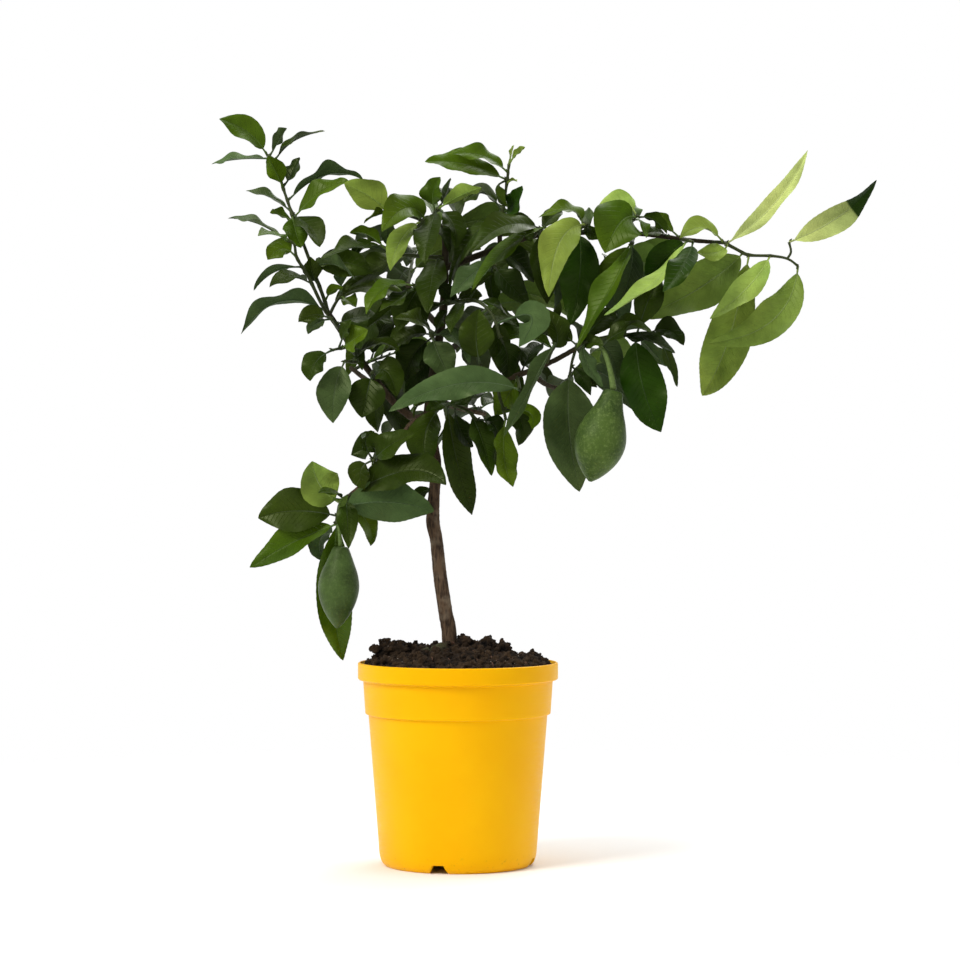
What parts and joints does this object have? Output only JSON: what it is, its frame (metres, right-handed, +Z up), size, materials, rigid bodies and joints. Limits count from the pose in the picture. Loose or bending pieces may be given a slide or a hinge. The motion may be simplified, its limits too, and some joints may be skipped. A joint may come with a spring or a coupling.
{
  "type": "potted lemon tree",
  "caption": "Young lemon tree with a leafy crown and hanging green fruit, growing in a round yellow plastic nursery pot.",
  "frame": {"origin": "middle of the pot's underside, on the ground plane", "axes": "+Z up along the pot's axis, -Y towards the viewer of the picture, +X to the viewer's right"},
  "size_m": [0.6698, 0.3068, 0.751],
  "materials": {
    "yellow_plastic": "satin injection-moulded polypropylene",
    "potting_soil": "crumbly moist potting soil",
    "bark": "rough young bark",
    "leaf": "waxy green leaf",
    "lemon_peel": "pored green peel"
  },
  "bodies": {
    "root": {"pot": "yellow_plastic", "soil": "potting_soil", "trunk": "bark", "lemon_left": "lemon_peel", "lemon_right": "lemon_peel", "spray_back_far_left_1": "leaf", "spray_back_left_1": "leaf", "spray_back_left_2": "leaf", "spray_back_low_1": "leaf", "spray_back_low_left_1": "leaf", "spray_back_low_right_1": "leaf", "spray_back_middle_1": "leaf", "spray_back_middle_2": "leaf", "spray_back_right_1": "leaf", "spray_back_right_2": "leaf", "spray_back_top_1": "leaf", "spray_centre_1": "leaf", "spray_centre_2": "leaf", "spray_centre_3": "leaf", "spray_centre_4": "leaf", "spray_centre_5": "leaf", "spray_centre_left_1": "leaf", "spray_centre_left_2": "leaf", "spray_hanging_1": "leaf", "spray_hanging_2": "leaf", "spray_left_1": "leaf", "spray_left_2": "leaf", "spray_left_3": "leaf", "spray_left_4": "leaf", "spray_left_5": "leaf", "spray_lower_left_1": "leaf", "spray_lower_left_2": "leaf", "spray_right_inner_1": "leaf", "spray_right_inner_2": "leaf", "spray_right_inner_3": "leaf", "spray_right_low_1": "leaf", "spray_right_low_2": "leaf", "spray_right_outer_1": "leaf", "spray_right_outer_2": "leaf", "spray_right_outer_3": "leaf", "spray_right_outer_4": "leaf", "spray_right_outer_5": "leaf", "spray_right_tip_1": "leaf", "spray_top_centre_1": "leaf", "spray_top_left_1": "leaf", "spray_top_right_1": "leaf"}
  },
  "joints": []
}
